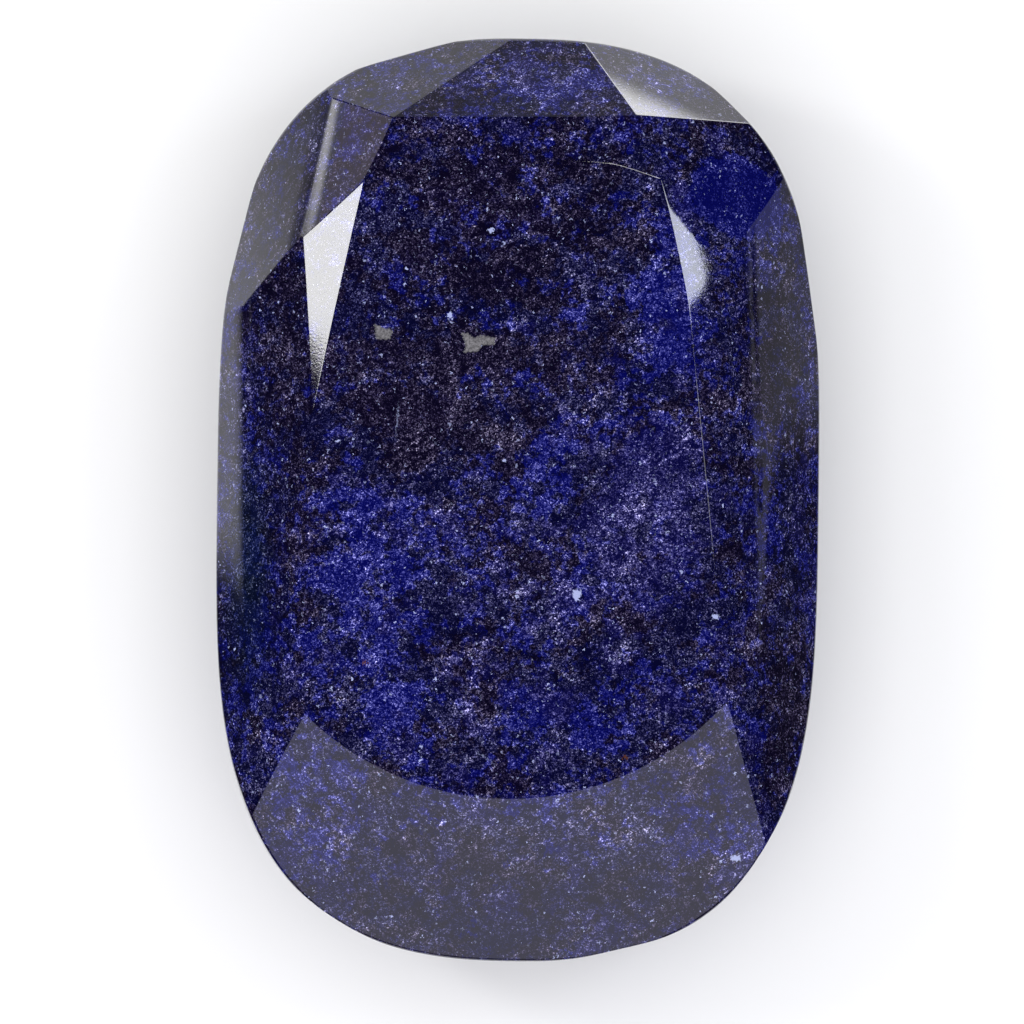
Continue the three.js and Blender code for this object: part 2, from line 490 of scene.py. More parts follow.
def grid_facets(bm, facets, face_of, shape):
    """Lays a grid of edges over every facet but the back one, so that domes and waves show."""
    back = facets.number(BACK_PLANE)
    half = (shape.width / 2, shape.length / 2)
    for axis in (0, 1):
        count = round(2 * half[axis] / FACET_GRID)
        normal = (1 - axis, axis, 0)
        for place in np.linspace(-half[axis], half[axis], count + 1)[1:-1]:
            faces = [
                face for face in bm.faces
                if face[face_of] < facets.cone and face[face_of] != back
            ]
            geometry = set(faces)
            geometry.update(edge for face in faces for edge in face.edges)
            geometry.update(vert for face in faces for vert in face.verts)
            bmesh.ops.bisect_plane(
                bm, geom=list(geometry), dist=SHORTEST_EDGE,
                plane_co=(place * normal[0], place * normal[1], 0), plane_no=normal)


def waviness(points):
    """Height of the polishing waves, a sum of sines of the place, and its gradient."""
    swell = np.zeros(len(points))
    lean = np.zeros(points.shape)
    for length, direction, start in WAVES:
        pace = 2 * np.pi / (length * MM) * np.array(direction)
        angle = points @ pace + start
        swell += WAVE_HEIGHT * np.sin(angle)
        lean += WAVE_HEIGHT * np.cos(angle)[:, None] * pace
    return swell, lean


def neighbours(bm, face_of):
    """Pairs of surfaces that share an edge."""
    pairs = set()
    for edge in bm.edges:
        numbers = {face[face_of] for face in edge.link_faces}
        if len(numbers) == 2:
            pairs.add(tuple(sorted(numbers)))
    return sorted(pairs)


def add_bands(bm, facets, face_of, widths, shape):
    """Adds edge loops inside each rounded band, on both surfaces that meet there."""
    for one, two in neighbours(bm, face_of):
        for near, far in ((one, two), (two, one)):
            for step in BAND_STEPS:

                def gap(points):
                    near_distance, near_normal = surface_distance(points, near, facets, shape)
                    far_distance, far_normal = surface_distance(points, far, facets, shape)
                    turn = np.linalg.norm(near_normal - far_normal, axis=1)
                    return far_distance - near_distance + step * widths[near, far] * turn

                split_along([face for face in bm.faces if face[face_of] == near], gap)


def roundness(points, facets, widths, shape):
    """How deep the polished surface lies under each point, and its normal there.

    The nearest surface is the one with the greatest distance. Another surface counts by
    h = 1 - (difference of the two distances) / band, where the band is the half width times
    the difference of the two normals. The surface lies deeper by the sum of h * h * band / 4,
    and its normal is the nearest normal plus the sum of h * h times the other normals.
    """
    parts = [surface_distance(points, number, facets, shape) for number in range(facets.wall + 1)]
    distances = np.stack([part[0] for part in parts], axis=1)
    normals = np.stack([part[1] for part in parts], axis=1)
    rows = np.arange(len(points))
    nearest = np.argmax(distances, axis=1)
    best = distances[rows, nearest]
    normal = normals[rows, nearest]
    turn = np.linalg.norm(normals - normal[:, None, :], axis=2)
    band = np.maximum(widths[nearest] * turn, 1e-9)
    share = np.clip(1 - (best[:, None] - distances) / band, 0, 1)
    share[rows, nearest] = 0
    depth = best + np.sum(share**2 * band, axis=1) / 4
    blended = normal + np.einsum("pf,pfk->pk", share**2, normals)
    blended /= np.linalg.norm(blended, axis=1)[:, None]
    return depth, blended


def chip_profile(x, y, outline_mm):
    """How deep a chip is, from 0 outside to 1 on its floor, with a rough floor.

    The depth follows the distance inside the chip's outline, over a short broken slope.
    """
    corners = np.array(outline_mm) * MM
    nearest = np.full(x.shape, 1.0)
    inside = np.zeros(x.shape, bool)
    for start, end in zip(corners, np.roll(corners, -1, axis=0)):
        along = end - start
        share = ((x - start[0]) * along[0] + (y - start[1]) * along[1]) / (along @ along)
        share = np.clip(share, 0, 1)
        nearest = np.minimum(
            nearest, np.hypot(x - start[0] - share * along[0], y - start[1] - share * along[1]))
        crosses = (start[1] > y) != (end[1] > y)
        rise = along[1] if along[1] != 0 else 1e-12
        inside ^= crosses & (x < start[0] + (y - start[1]) * along[0] / rise)
    wobble = 0.05 * MM * np.sin(x / MM * 9.1 + 2 * np.sin(y / MM * 7.3))
    wobble += 0.04 * MM * np.sin(y / MM * 12.7 + 1.5 * np.sin(x / MM * 10.9))
    signed = np.where(inside, nearest, -nearest) + wobble
    slope = np.clip(signed / CHIP_SLOPE, 0, 1)
    rough = 0.5 + 0.25 * np.sin(x / MM * 17 + 3 * np.sin(y / MM * 5)) * np.sin(y / MM * 15)
    return slope**2 * (3 - 2 * slope) * (0.8 + 0.2 * rough)


def chip_depth(x, y):
    """Depth of all chips together, from 0 to 1."""
    return np.maximum.reduce([chip_profile(x, y, chip) for chip in CHIPS])


def grid_chips(bm, facets, face_of):
    """Lays a fine grid over each chip's place on the table."""
    table = facets.number(TABLE_PLANE)
    boxes = []
    for chip in CHIPS:
        corners = np.array(chip) * MM
        boxes.append((corners.min(axis=0) - CHIP_MARGIN, corners.max(axis=0) + CHIP_MARGIN))
    low_y = min(low[1] for low, _ in boxes)
    high_y = max(high[1] for _, high in boxes)

    def table_faces(low, high):
        found = []
        for face in bm.faces:
            if face[face_of] == table:
                middle = face.calc_center_bounds()
                if low[0] < middle.x < high[0] and low[1] < middle.y < high[1]:
                    found.append(face)
        return found

    far = 1.0
    for level in (low_y, high_y):
        split_along(table_faces((-far, -far), (far, far)), lambda points: points[:, 1] - level)
    for low, high in boxes:
        for place in (low[0], high[0]):
            split_along(
                table_faces((-far, low_y), (far, high_y)), lambda points: points[:, 0] - place)
    for low, high in boxes:
        low, high = (low[0], low_y), (high[0], high_y)
        for axis in (0, 1):
            count = round((high[axis] - low[axis]) / CHIP_STEP)
            for place in np.linspace(low[axis], high[axis], count + 1)[1:-1]:
                split_along(table_faces(low, high), lambda points: points[:, axis] - place)


def sapphire_mesh(shape):
    """The stone's finished mesh: preform, facets, rounded edges and chips."""
    facets = Facets(shape)
    widths = band_widths(facets, shape)
    points, faces = preform(shape)
    rough = bpy.data.meshes.new("sapphire_preform")
    rough.from_pydata(points.tolist(), [], faces)
    bm = bmesh.new()
    bm.from_mesh(rough)
    bpy.data.meshes.remove(rough)
    face_of = bm.faces.layers.int.new("facet")
    for face in bm.faces:
        face[face_of] = facets.wall
        if len(face.verts) > 4:
            top = face.calc_center_median().z > shape.girdle
            face[face_of] = facets.number(TABLE_PLANE if top else BACK_PLANE)
    grind(bm, facets, face_of)
    bmesh.ops.remove_doubles(bm, verts=bm.verts[:], dist=SHORTEST_EDGE)
    measure_domes(bm, facets, face_of)
    grid_facets(bm, facets, face_of, shape)
    add_bands(bm, facets, face_of, widths, shape)
    grid_chips(bm, facets, face_of)
    bmesh.ops.triangulate(bm, faces=bm.faces[:])
    bmesh.ops.recalc_face_normals(bm, faces=bm.faces[:])

    mesh = bpy.data.meshes.new("sapphire_cut")
    bm.to_mesh(mesh)
    bm.free()
    points = np.empty(len(mesh.vertices) * 3)
    mesh.vertices.foreach_get("co", points)
    points = points.reshape(-1, 3)
    depth, normals = roundness(points, facets, widths, shape)
    points -= depth[:, None] * normals
    swell, lean = waviness(points)
    swell -= len(WAVES) * WAVE_HEIGHT
    points += swell[:, None] * normals
    normals -= lean - np.sum(lean * normals, axis=1)[:, None] * normals

    x, y = points[:, 0], points[:, 1]
    on_table = points[:, 2] > shape.height - TABLE_LAYER
    chip = np.where(on_table, chip_depth(x, y), 0)
    slope_x = chip_depth(x + CHIP_NUDGE, y) - chip_depth(x - CHIP_NUDGE, y)
    slope_y = chip_depth(x, y + CHIP_NUDGE) - chip_depth(x, y - CHIP_NUDGE)
    tilt = np.where(chip > 0, shape.chip_depth / (2 * CHIP_NUDGE), 0)
    normals[:, 0] += slope_x * tilt
    normals[:, 1] += slope_y * tilt
    normals /= np.linalg.norm(normals, axis=1)[:, None]
    points[:, 2] -= chip * shape.chip_depth

    mesh.vertices.foreach_set("co", points.astype(np.float32).ravel())
    mesh.update()
    mesh.shade_smooth()
    mesh.normals_split_custom_set_from_vertices(normals.tolist())
    mask = mesh.attributes.new("chip", "FLOAT", "POINT")
    mask.data.foreach_set("value", np.clip(chip * CHIP_MASK_GAIN, 0, 1).astype(np.float32))
    return mesh


class Nodes:
    """Short forms for building a node tree."""

    def __init__(self, tree):
        self.tree = tree

    def add(self, kind, inputs=(), **settings):
        node = self.tree.nodes.new(kind)
        for name, value in settings.items():
            setattr(node, name, value)
        for name, value in dict(inputs).items():
            self.set(node.inputs[name], value)
        return node

    def set(self, socket, value):
        if isinstance(value, bpy.types.NodeSocket):
            self.tree.links.new(value, socket)
        elif value is not None:
            socket.default_value = value

    def math(self, operation, first, second=None, third=None, clamp=False):
        node = self.add("ShaderNodeMath", operation=operation, use_clamp=clamp)
        for socket, value in zip(node.inputs, (first, second, third)):
            self.set(socket, value)
        return node.outputs[0]

    def vector(self, operation, first, second=None, scale=None):
        node = self.add("ShaderNodeVectorMath", operation=operation)
        self.set(node.inputs[0], first)
        self.set(node.inputs[1], second)
        self.set(node.inputs[3], scale)
        return node.outputs["Value" if operation == "LENGTH" else "Vector"]

    def spread(self, value, low, high, to_low=0.0, to_high=1.0, smooth=False):
        node = self.add(
            "ShaderNodeMapRange", {0: value, 1: low, 2: high, 3: to_low, 4: to_high},
            interpolation_type="SMOOTHSTEP" if smooth else "LINEAR")
        return node.outputs[0]

    def noise(self, place, size, detail=2.0, roughness=0.5, output="Fac"):
        return self.add(
            "ShaderNodeTexNoise", {"Vector": place, "Scale": 1 / size, "Detail": detail,
                                   "Roughness": roughness}).outputs[output]

    def cells(self, place, size):
        return self.add("ShaderNodeTexVoronoi", {"Vector": place, "Scale": 1 / size})

    def mix(self, share, first, second):
        node = self.add("ShaderNodeMix", data_type="RGBA")
        self.set(node.inputs["Factor"], share)
        self.set(node.inputs[6], first)
        self.set(node.inputs[7], second)
        return node.outputs[2]

    def parts(self, colour):
        return self.add("ShaderNodeSeparateColor", {"Color": colour}).outputs

    def weighted(self, terms, base=0.0):
        """A sum of values, each times its weight, on top of a base."""
        for value, weight in terms:
            base = self.math("MULTIPLY_ADD", value, weight, base)
        return base

    def turned(self, place, angle, stretch):
        return self.add(
            "ShaderNodeMapping",
            {"Vector": place, "Rotation": (0, 0, math.radians(angle)), "Scale": stretch},
            vector_type="TEXTURE").outputs["Vector"]


# The stone's colour is a grey grain plus a pigment, added as the eye sees them and then
# turned into light by a power. Each is given as red, green and blue.
GRAIN_TINT = (1.0, 0.975, 1.02)
GRAIN_GREY = 0.172
GRAIN_BLACK = 0.104
EYE_OFFSET = 0.055
EYE_POWER = 2.4
INDIGO = (0.0, 0.002, 0.145)
PLUM = (0.022, 0.0, 0.085)
ULTRAMARINE = (0.0, 0.013, 0.30)
LILAC = (0.022, 0.018, 0.225)
TEAL = (0.0, 0.055, 0.12)
RUST = (0.090, 0.030, 0.012)
LILAC_SHARE, PLUM_SHARE, TEAL_SHARE = 0.8, 0.85, 0.6

# Sizes in the stone: cells and fine noise in grains, all others in mm
SMALL_CELL, LARGE_CELL, FINE_NOISE = 0.35, 0.8, 0.3
LUMP, CLUMP, CLOUD, LEAF, STREAK, HOLLOW, HUE = 1.1, 3.2, 11, 6, 0.7, 2.0, 5.0

# Weights of the first six in the lightness, which streaks, hollows and the painted shade of the
# creases then change
LIGHT_WEIGHTS = (1.6, 0.4, 3.0, 1.6, 1.5, 0.9)
LIGHT_BASE = -4.6
STREAK_WEIGHT, STREAK_BASE = 3.2, -1.55
HOLLOW_LIGHT, CREASE_SHADE = -0.9, -0.6
SHARE_LIMITS = ((0.50, 0.58), (0.50, 0.58), (0.51, 0.61))
PATCH_BEND, GRAIN_BEND = 1.6, 0.4

# Broad patches seen in the stone: middle and half sizes in mm, turn in degrees, soft share,
# and what the patch adds to the plum, blue and lilac shares and to the grains' lightness
PATCHES = (
    ((-2, 31), (23, 15), 0, 0.7, (0.07, -0.02, -0.10, -0.10)),
    ((-9, 12), (16, 13), 20, 0.6, (0.13, -0.06, -0.10, -0.08)),
    ((15, -2), (9, 16), -12, 0.7, (-0.12, -0.02, 0.13, 0.16)),
    ((-6, -20), (7, 5.5), 0, 0.8, (0.04, -0.06, 0.10, 0.15)),
    ((-16, -14), (11, 20), 8, 0.7, (-0.10, 0.08, -0.05, -0.02)),
    ((3.5, 2), (4.5, 8), -10, 0.6, (-0.15, 0.13, -0.05, 0.0)),
    ((18, 22), (5, 10), 8, 0.6, (-0.15, 0.13, -0.05, 0.0)),
    ((8, -26), (13, 8), 0, 0.8, (-0.10, 0.09, -0.03, 0.0)),
    ((4, 49), (10, 3.5), 0, 0.6, (-0.12, 0.08, 0.03, 0.12)),
    ((26.0, 35.8), (7.0, 5.4), -25, 0.55, (-0.5, 0.5, -0.5, -0.35)),
    ((27, 44), (9, 3), -20, 0.7, (0.12, -0.1, -0.1, -0.15)),
    ((29, 18), (6, 16), 5, 0.8, (0.09, -0.06, -0.04, -0.15)),
    ((29, -3), (5, 10), 0, 0.8, (-0.05, 0.04, -0.08, -0.28)),
    ((31, -24), (6, 12), 0, 0.8, (0.08, -0.03, -0.05, -0.18)),
    ((-27, 24), (7, 26), 5, 0.8, (0.10, -0.06, -0.06, -0.20)),
    ((-31, -15), (6, 22), 0, 0.8, (-0.06, 0.05, -0.06, -0.28)),
    ((0, -48), (32, 12), 0, 0.5, (0.03, -0.10, 0.0, -0.12)),
)

# Two creases in the near end, drawn as dark painted shade, and two scratches on the table: middle,
# half sizes, turn
SHADED_CREASES = (((-14.6, -40.0), (1.1, 6.2), 12), ((-11.8, -48.0), (1.2, 4.5), 32))
SCRATCHES = (((-14.2, 9.4), (0.10, 2.6), -4), ((-3.9, -30.2), (0.08, 1.6), 55))

# Pale flecks and rusty specks that stand out: middle and half sizes in mm
PALE_FLECKS = (
    ((-8.0, 21.6), (0.35, 0.5)), ((6.9, -11.1), (0.6, 0.8)), ((23.2, -13.7), (0.5, 0.4)),
    ((25.7, -42.3), (0.7, 0.5)), ((-21.2, 6.9), (0.4, 0.3)), ((-3.2, 31.6), (0.4, 0.3)),
)
RUSTY_SPECKS = (((12.6, -30.2), (0.5, 0.3)), ((-18.0, -19.1), (0.4, 0.35)))

# Small pale specks, one in a cell at most: spacing in mm, share of the cells without one,
# smallest and largest reach as a share of the spacing, and strength
SPECK_LAYERS = (
    (0.6, 0.45, 0.10, 0.22, 0.9), (1.6, 0.65, 0.06, 0.13, 1.0), (7.0, 0.60, 0.014, 0.04, 1.0))

# The teal patch on the left, the chips' shades and roughness, the polish's unevenness in
# shares and in mm, and the height of the stone's skin in metres
TEAL_PATCH = ((-32, -8), (4, 20))
CHIP_SHADES = (0.55, 1.5)
CHIP_ROUGHNESS = 0.75
WEAR_SHARES = (0.8, 1.3)
WEAR_SIZE, SKIN_SIZE = 9, 0.26
SKIN_HEIGHT = 0.0000018


def place_in_mm(nodes):
    """Object coordinates, in millimetres."""
    place = nodes.add("ShaderNodeTexCoord").outputs["Object"]
    return nodes.vector("SCALE", place, scale=1 / MM)


def zone(nodes, place, middle, size, turn=0.0, edge=0.5):
    """A soft patch: 1 at its middle, 0 outside an ellipse of this size in mm."""
    centred = nodes.add(
        "ShaderNodeMapping",
        {"Vector": place, "Location": (*middle, 0), "Rotation": (0, 0, math.radians(turn)),
         "Scale": (*size, 1000)},
        vector_type="TEXTURE").outputs["Vector"]
    return nodes.spread(nodes.vector("LENGTH", centred), 1.0, 1.0 - edge, smooth=True)


def grain_shares(nodes, place, crisp, bent, finish):
    """Lightness of every grain, and its share of plum, blue and lilac.

    Cells of random lightness and fine noise lie in lumps, clumps and clouds. Leafy places
    are streaked, hollows darker. The shares follow a noise, the lumps and the patches.
    """
    grain = finish.grain / MM
    small = nodes.parts(nodes.cells(crisp, SMALL_CELL * grain).outputs["Color"])
    large = nodes.parts(nodes.cells(crisp, LARGE_CELL * grain).outputs["Color"])
    fine = nodes.noise(place, FINE_NOISE * grain, detail=1)
    lumps = nodes.noise(bent, LUMP, roughness=0.6)
    clumps = nodes.noise(bent, CLUMP, detail=3, roughness=0.6)
    clouds = nodes.noise(place, CLOUD)
    light = nodes.weighted(
        zip((small[0], large[0], fine, lumps, clumps, clouds), LIGHT_WEIGHTS), LIGHT_BASE)

    leafy = nodes.spread(nodes.noise(bent, LEAF, detail=3), 0.49, 0.63, smooth=True)
    streaks = nodes.noise(nodes.turned(bent, 35, (2.6, 0.5, 1)), STREAK, detail=3)
    streaks = nodes.weighted(((streaks, STREAK_WEIGHT),), STREAK_BASE)
    light = nodes.math("MULTIPLY_ADD", leafy, streaks, light)
    hollow = nodes.spread(nodes.noise(bent, HOLLOW), 0.40, 0.27, smooth=True)
    light = nodes.math("MULTIPLY_ADD", hollow, HOLLOW_LIGHT, light)

    hue = nodes.parts(nodes.noise(bent, HUE, detail=4.5, roughness=0.75, output="Color"))
    values = [
        nodes.weighted(((hue[0], 1.0), (lumps, -0.35)), 0.175),
        nodes.weighted(((hue[1], 1.0), (lumps, 0.45)), -0.225),
        nodes.weighted(((hue[2], 1.0), (leafy, 0.05))),
        light,
    ]
    for middle, size, turn, edge, steps in PATCHES:
        patch = zone(nodes, bent, middle, size, turn, edge)
        values = [nodes.weighted(((patch, step),), value) for step, value in zip(steps, values)]
    *shares, light = values
    # Painted shade: the near end's creases are darkened in the colour, as the surface has no crease
    for middle, size, turn in SHADED_CREASES:
        light = nodes.weighted(((zone(nodes, bent, middle, size, turn, 0.8), CREASE_SHADE),), light)
    return light, *(
        nodes.spread(share, *limits, smooth=True) for share, limits in zip(shares, SHARE_LIMITS))


def add_flecks(nodes, place, crisp, colour, finish):
    """Lays small pale specks, larger flecks, scratches and rusty specks over the grains."""
    pale = (*finish.fleck_colour, 1)
    ragged = nodes.noise(place, 0.3, output="Color")
    ragged = nodes.vector("SUBTRACT", ragged, (0.5, 0.5, 0.5))
    broken = nodes.vector("ADD", crisp, nodes.vector("SCALE", ragged, scale=0.8))
    for spacing, empty, smallest, largest, strength in SPECK_LAYERS:
        cells = nodes.cells(broken, spacing)
        tint = nodes.parts(cells.outputs["Color"])
        reach = nodes.spread(tint[0], empty, 1.0, smallest, largest)
        reach = nodes.math("MULTIPLY", reach, nodes.math("GREATER_THAN", tint[0], empty))
        speck = nodes.math("LESS_THAN", cells.outputs["Distance"], reach)
        share = nodes.spread(nodes.math("POWER", tint[1], 1.6), 0.0, 1.0, 0.04, strength)
        colour = nodes.mix(nodes.math("MULTIPLY", speck, share), colour, pale)

    ragged = nodes.vector("ADD", place, nodes.vector("SCALE", ragged, scale=1.1))
    for group, paint, share in ((PALE_FLECKS, pale, 0.85), (RUSTY_SPECKS, (*RUST, 1), 0.8)):
        for middle, size in group:
            patch = zone(nodes, ragged, middle, size, 0, 0.35)
            colour = nodes.mix(nodes.math("MULTIPLY", patch, share), colour, paint)
    for middle, size, turn in SCRATCHES:
        patch = zone(nodes, ragged, middle, size, turn, 0.6)
        colour = nodes.mix(nodes.math("MULTIPLY", patch, 0.35), colour, pale)
    return colour


def sapphire_material(finish):
    """Polished stone made of grains from near black to lilac, with pale flecks."""
    material = bpy.data.materials.new("polished_sapphire")
    material.use_nodes = True
    nodes = Nodes(material.node_tree)
    shader = material.node_tree.nodes["Principled BSDF"]
    place = place_in_mm(nodes)
    drift = nodes.noise(place, 1.0, detail=4, roughness=0.7, output="Color")
    drift = nodes.vector("SUBTRACT", drift, (0.5, 0.5, 0.5))
    bent = nodes.vector("ADD", place, nodes.vector("SCALE", drift, scale=PATCH_BEND))
    crisp = nodes.vector("ADD", place, nodes.vector("SCALE", drift, scale=GRAIN_BEND))

    light, plum, blue, lilac = grain_shares(nodes, place, crisp, bent, finish)
    pigment = nodes.mix(blue, (*INDIGO, 1), (*ULTRAMARINE, 1))
    pigment = nodes.mix(nodes.math("MULTIPLY", lilac, LILAC_SHARE), pigment, (*LILAC, 1))
    pigment = nodes.mix(nodes.math("MULTIPLY", plum, PLUM_SHARE), pigment, (*PLUM, 1))
    teal = zone(nodes, bent, *TEAL_PATCH, edge=0.9)
    pigment = nodes.mix(nodes.math("MULTIPLY", teal, TEAL_SHARE), pigment, (*TEAL, 1))
    grey = nodes.math(
        "MULTIPLY_ADD", nodes.math("EXPONENT", light), GRAIN_GREY, -GRAIN_BLACK, clamp=True)
    seen = nodes.vector("ADD", nodes.vector("SCALE", GRAIN_TINT, scale=grey), pigment)
    seen = nodes.vector("ADD", seen, (EYE_OFFSET, EYE_OFFSET, EYE_OFFSET))
    seen = nodes.vector("SCALE", seen, scale=1 / (1 + EYE_OFFSET))
    colour = nodes.add("ShaderNodeGamma", {"Color": seen, "Gamma": EYE_POWER}).outputs["Color"]
    colour = add_flecks(nodes, place, crisp, colour, finish)

    chip = nodes.add("ShaderNodeAttribute", attribute_name="chip").outputs["Fac"]
    dark, pale = ((*[shade * part for part in finish.chip_colour], 1) for shade in CHIP_SHADES)
    chip_colour = nodes.mix(nodes.spread(nodes.noise(place, 0.22), 0.35, 0.65), dark, pale)
    colour = nodes.mix(chip, colour, chip_colour)
    nodes.set(shader.inputs["Base Color"], colour)

    wear = nodes.noise(place, WEAR_SIZE, detail=3)
    least, most = (share * finish.polish for share in WEAR_SHARES)
    roughness = nodes.spread(wear, 0.3, 0.7, least, most)
    matte = nodes.math("MULTIPLY", chip, CHIP_ROUGHNESS)
    nodes.set(shader.inputs["Roughness"], nodes.math("MAXIMUM", roughness, matte))
    shader.inputs["IOR"].default_value = finish.index

    skin = nodes.noise(place, SKIN_SIZE)
    bump = nodes.add("ShaderNodeBump", {"Height": skin, "Distance": SKIN_HEIGHT, "Strength": 1.0})
    nodes.set(shader.inputs["Normal"], bump.outputs["Normal"])
    return material


def plain_material(name, colour, roughness):
    """A matte finish of one colour, for the floor."""
    material = bpy.data.materials.new(name)
    material.use_nodes = True
    shader = material.node_tree.nodes["Principled BSDF"]
    shader.inputs["Base Color"].default_value = (*colour, 1)
    shader.inputs["Roughness"].default_value = roughness
    shader.inputs["Specular IOR Level"].default_value = 0.2
    return material


def new_object(name, data):
    made = bpy.data.objects.new(name, data)
    bpy.context.scene.collection.objects.link(made)
    return made


# The camera's place over the stone, and the width that it sees at the girdle's level
VIEW_WIDTH = 0.12244
CAMERA_X = -0.72 * MM
CAMERA_Y = -1.43 * MM

# Brightness of the air on the floor and the grains, and its colour in the polish
AIR = 0.55
AIR_IN_POLISH = (0.012, 0.012, 0.014)

# The floor's half size, its squares along a side, and its drop below the stone
FLOOR_HALF = 3.0
FLOOR_STEPS = 12
FLOOR_DROP = 0.02 * MM

# Softboxes and reflector cards: name, facing and height above the horizon in degrees,
# distance, width and height in metres, brightness
CARDS = (
    ("left_softbox", 158.7, 51, 0.60, 0.08, 0.20, 9.5),
    ("right_softbox", 23.0, 58, 0.60, 0.107, 0.115, 7.4),
    ("near_card", -90, 45, 0.65, 1.10, 0.42, 0.74),
    ("far_card", 90, 6, 1.2, 1.2, 0.16, 0.22),
    ("ridge_card", 153, 8, 0.9, 0.40, 0.36, 0.65),
    ("far_left_card", 147, 25, 0.9, 0.4, 0.18, 0.7),
    ("lens_lamp", 70.5, 78.3, 0.61, 0.030, 0.016, 7.0),
    ("edge_card", 7.1, 68, 0.70, 0.04, 0.10, 2.2),
)
CARD_TINTS = {
    "right_softbox": (0.80, 0.84, 0.95), "far_left_card": (1.0, 0.9, 1.0),
    "near_card": (0.97, 0.96, 1.15)}

# The fill light overhead, which isn't reflected: as above, without name and brightness
FILL_PLACE = (90, 89, 1.4, 1.2, 1.2)

# A soft spot of light for the left shoulder's ridge: as above
GLOWS = (("ridge_glow", 151.5, 5, 0.943, 0.13, 0.46, 2.8),)

# Cards that lie on the floor outside the picture, seen only as reflections: name, low and
# high corner in mm, the side that fades out with its width in mm, turn, and brightness
FLOOR_CARDS = (
    ("left_grey_card", (-3000, 42), (-66, 250), "low_y", 36, 0, 0.32),
    ("far_grey_card", (-140, 140), (10, 400), "low_y", 10, 0, 0.80),
    ("left_flag", (-3000, -3000), (-66, 2), "high_y", 12, 0, 0.015),
    ("left_far_flag", (-3000, -20), (-130, 150), "high_x", 240, 0, 0.015),
    ("right_grey_card", (66, -20), (3000, 1500), "high_y", 20, 0, 0.30),
    ("right_flag", (66, -3000), (3000, 18), "high_y", 14, 0, 0.015),
    ("far_glow", (-60, 119.5), (40, 240), "low_y", 9, -33, 5.5),
)

# Height of the lowest over the floor, and from each to the next, in mm
LOWEST_CARD, CARD_STEP = 0.1, 0.05


def aim(card, facing, lift, distance):
    """Places a card round the stone and turns its face to the stone."""
    facing, lift = math.radians(facing), math.radians(lift)
    card.location = (
        distance * math.cos(lift) * math.cos(facing),
        distance * math.cos(lift) * math.sin(facing),
        distance * math.sin(lift),
    )
    card.rotation_euler = (math.pi / 2 - lift, 0, facing + math.pi / 2)


def add_card(name, facing, lift, distance, width, height, brightness):
    """A rectangular soft light that looks at the stone from one side."""
    light = bpy.data.lights.new(name, "AREA")
    light.shape = "RECTANGLE"
    light.size = width
    light.size_y = height
    light.energy = brightness * math.pi * width * height
    light.color = CARD_TINTS.get(name, (1, 1, 1))
    made = new_object(name, light)
    aim(made, facing, lift, distance)
    made.visible_camera = False
    return made


def reflected_card(name, low, high, cover, brightness):
    """A flat card seen only by reflected rays. The cover is a function of the nodes and the
    place on the card in mm, and gives 1 where the card shows and 0 where it is clear."""
    x, y = np.array((low, high)).T * MM
    mesh = bpy.data.meshes.new(name)
    corners = [(x[0], y[0], 0), (x[1], y[0], 0), (x[1], y[1], 0), (x[0], y[1], 0)]
    mesh.from_pydata(corners, [], [(0, 1, 2, 3)])
    card = new_object(name, mesh)
    material = bpy.data.materials.new(name)
    material.use_nodes = True
    nodes = Nodes(material.node_tree)
    material.node_tree.nodes.clear()
    glow = nodes.add("ShaderNodeEmission", {"Strength": brightness})
    clear = nodes.add("ShaderNodeBsdfTransparent")
    both = nodes.add("ShaderNodeMixShader")
    nodes.set(both.inputs[0], cover(nodes, place_in_mm(nodes)))
    nodes.set(both.inputs[1], clear.outputs[0])
    nodes.set(both.inputs[2], glow.outputs[0])
    nodes.add("ShaderNodeOutputMaterial", {"Surface": both.outputs[0]})
    mesh.materials.append(material)
    for kind in ("camera", "diffuse", "transmission", "volume_scatter", "shadow"):
        setattr(card, f"visible_{kind}", False)
    return card


def add_floor_card(name, low, high, side, fade, turn, brightness, lift):
    """A card just over the floor with one soft edge."""
    edge, step = {
        "low_x": (low[0], 1), "high_x": (high[0], -1),
        "low_y": (low[1], 1), "high_y": (high[1], -1)}[side]

    def cover(nodes, place):
        place = nodes.add("ShaderNodeSeparateXYZ", {"Vector": place})
        along = place.outputs["X" if side.endswith("x") else "Y"]
        return nodes.spread(along, edge, edge + step * fade, smooth=True)

    card = reflected_card(name, low, high, cover, brightness)
    card.location.z = lift
    card.rotation_euler.z = math.radians(turn)


def add_glow(name, facing, lift, distance, width, height, brightness):
    """A round spot of light that fades from its middle to its rim."""
    half = (width / 2 / MM, height / 2 / MM)

    def cover(nodes, place):
        return zone(nodes, place, (0, 0), half, edge=1.0)

    aim(reflected_card(name, (-half[0], -half[1]), half, cover, brightness), facing, lift, distance)


def add_world():
    """Soft air round the stone that lights it evenly, but looks dark in its polish."""
    world = bpy.data.worlds.new("studio_air")
    bpy.context.scene.world = world
    world.use_nodes = True
    nodes = Nodes(world.node_tree)
    background = world.node_tree.nodes["Background"]
    path = nodes.add("ShaderNodeLightPath")
    nodes.set(
        background.inputs["Color"],
        nodes.mix(path.outputs["Is Glossy Ray"], (AIR, AIR, AIR, 1), (*AIR_IN_POLISH, 1)))


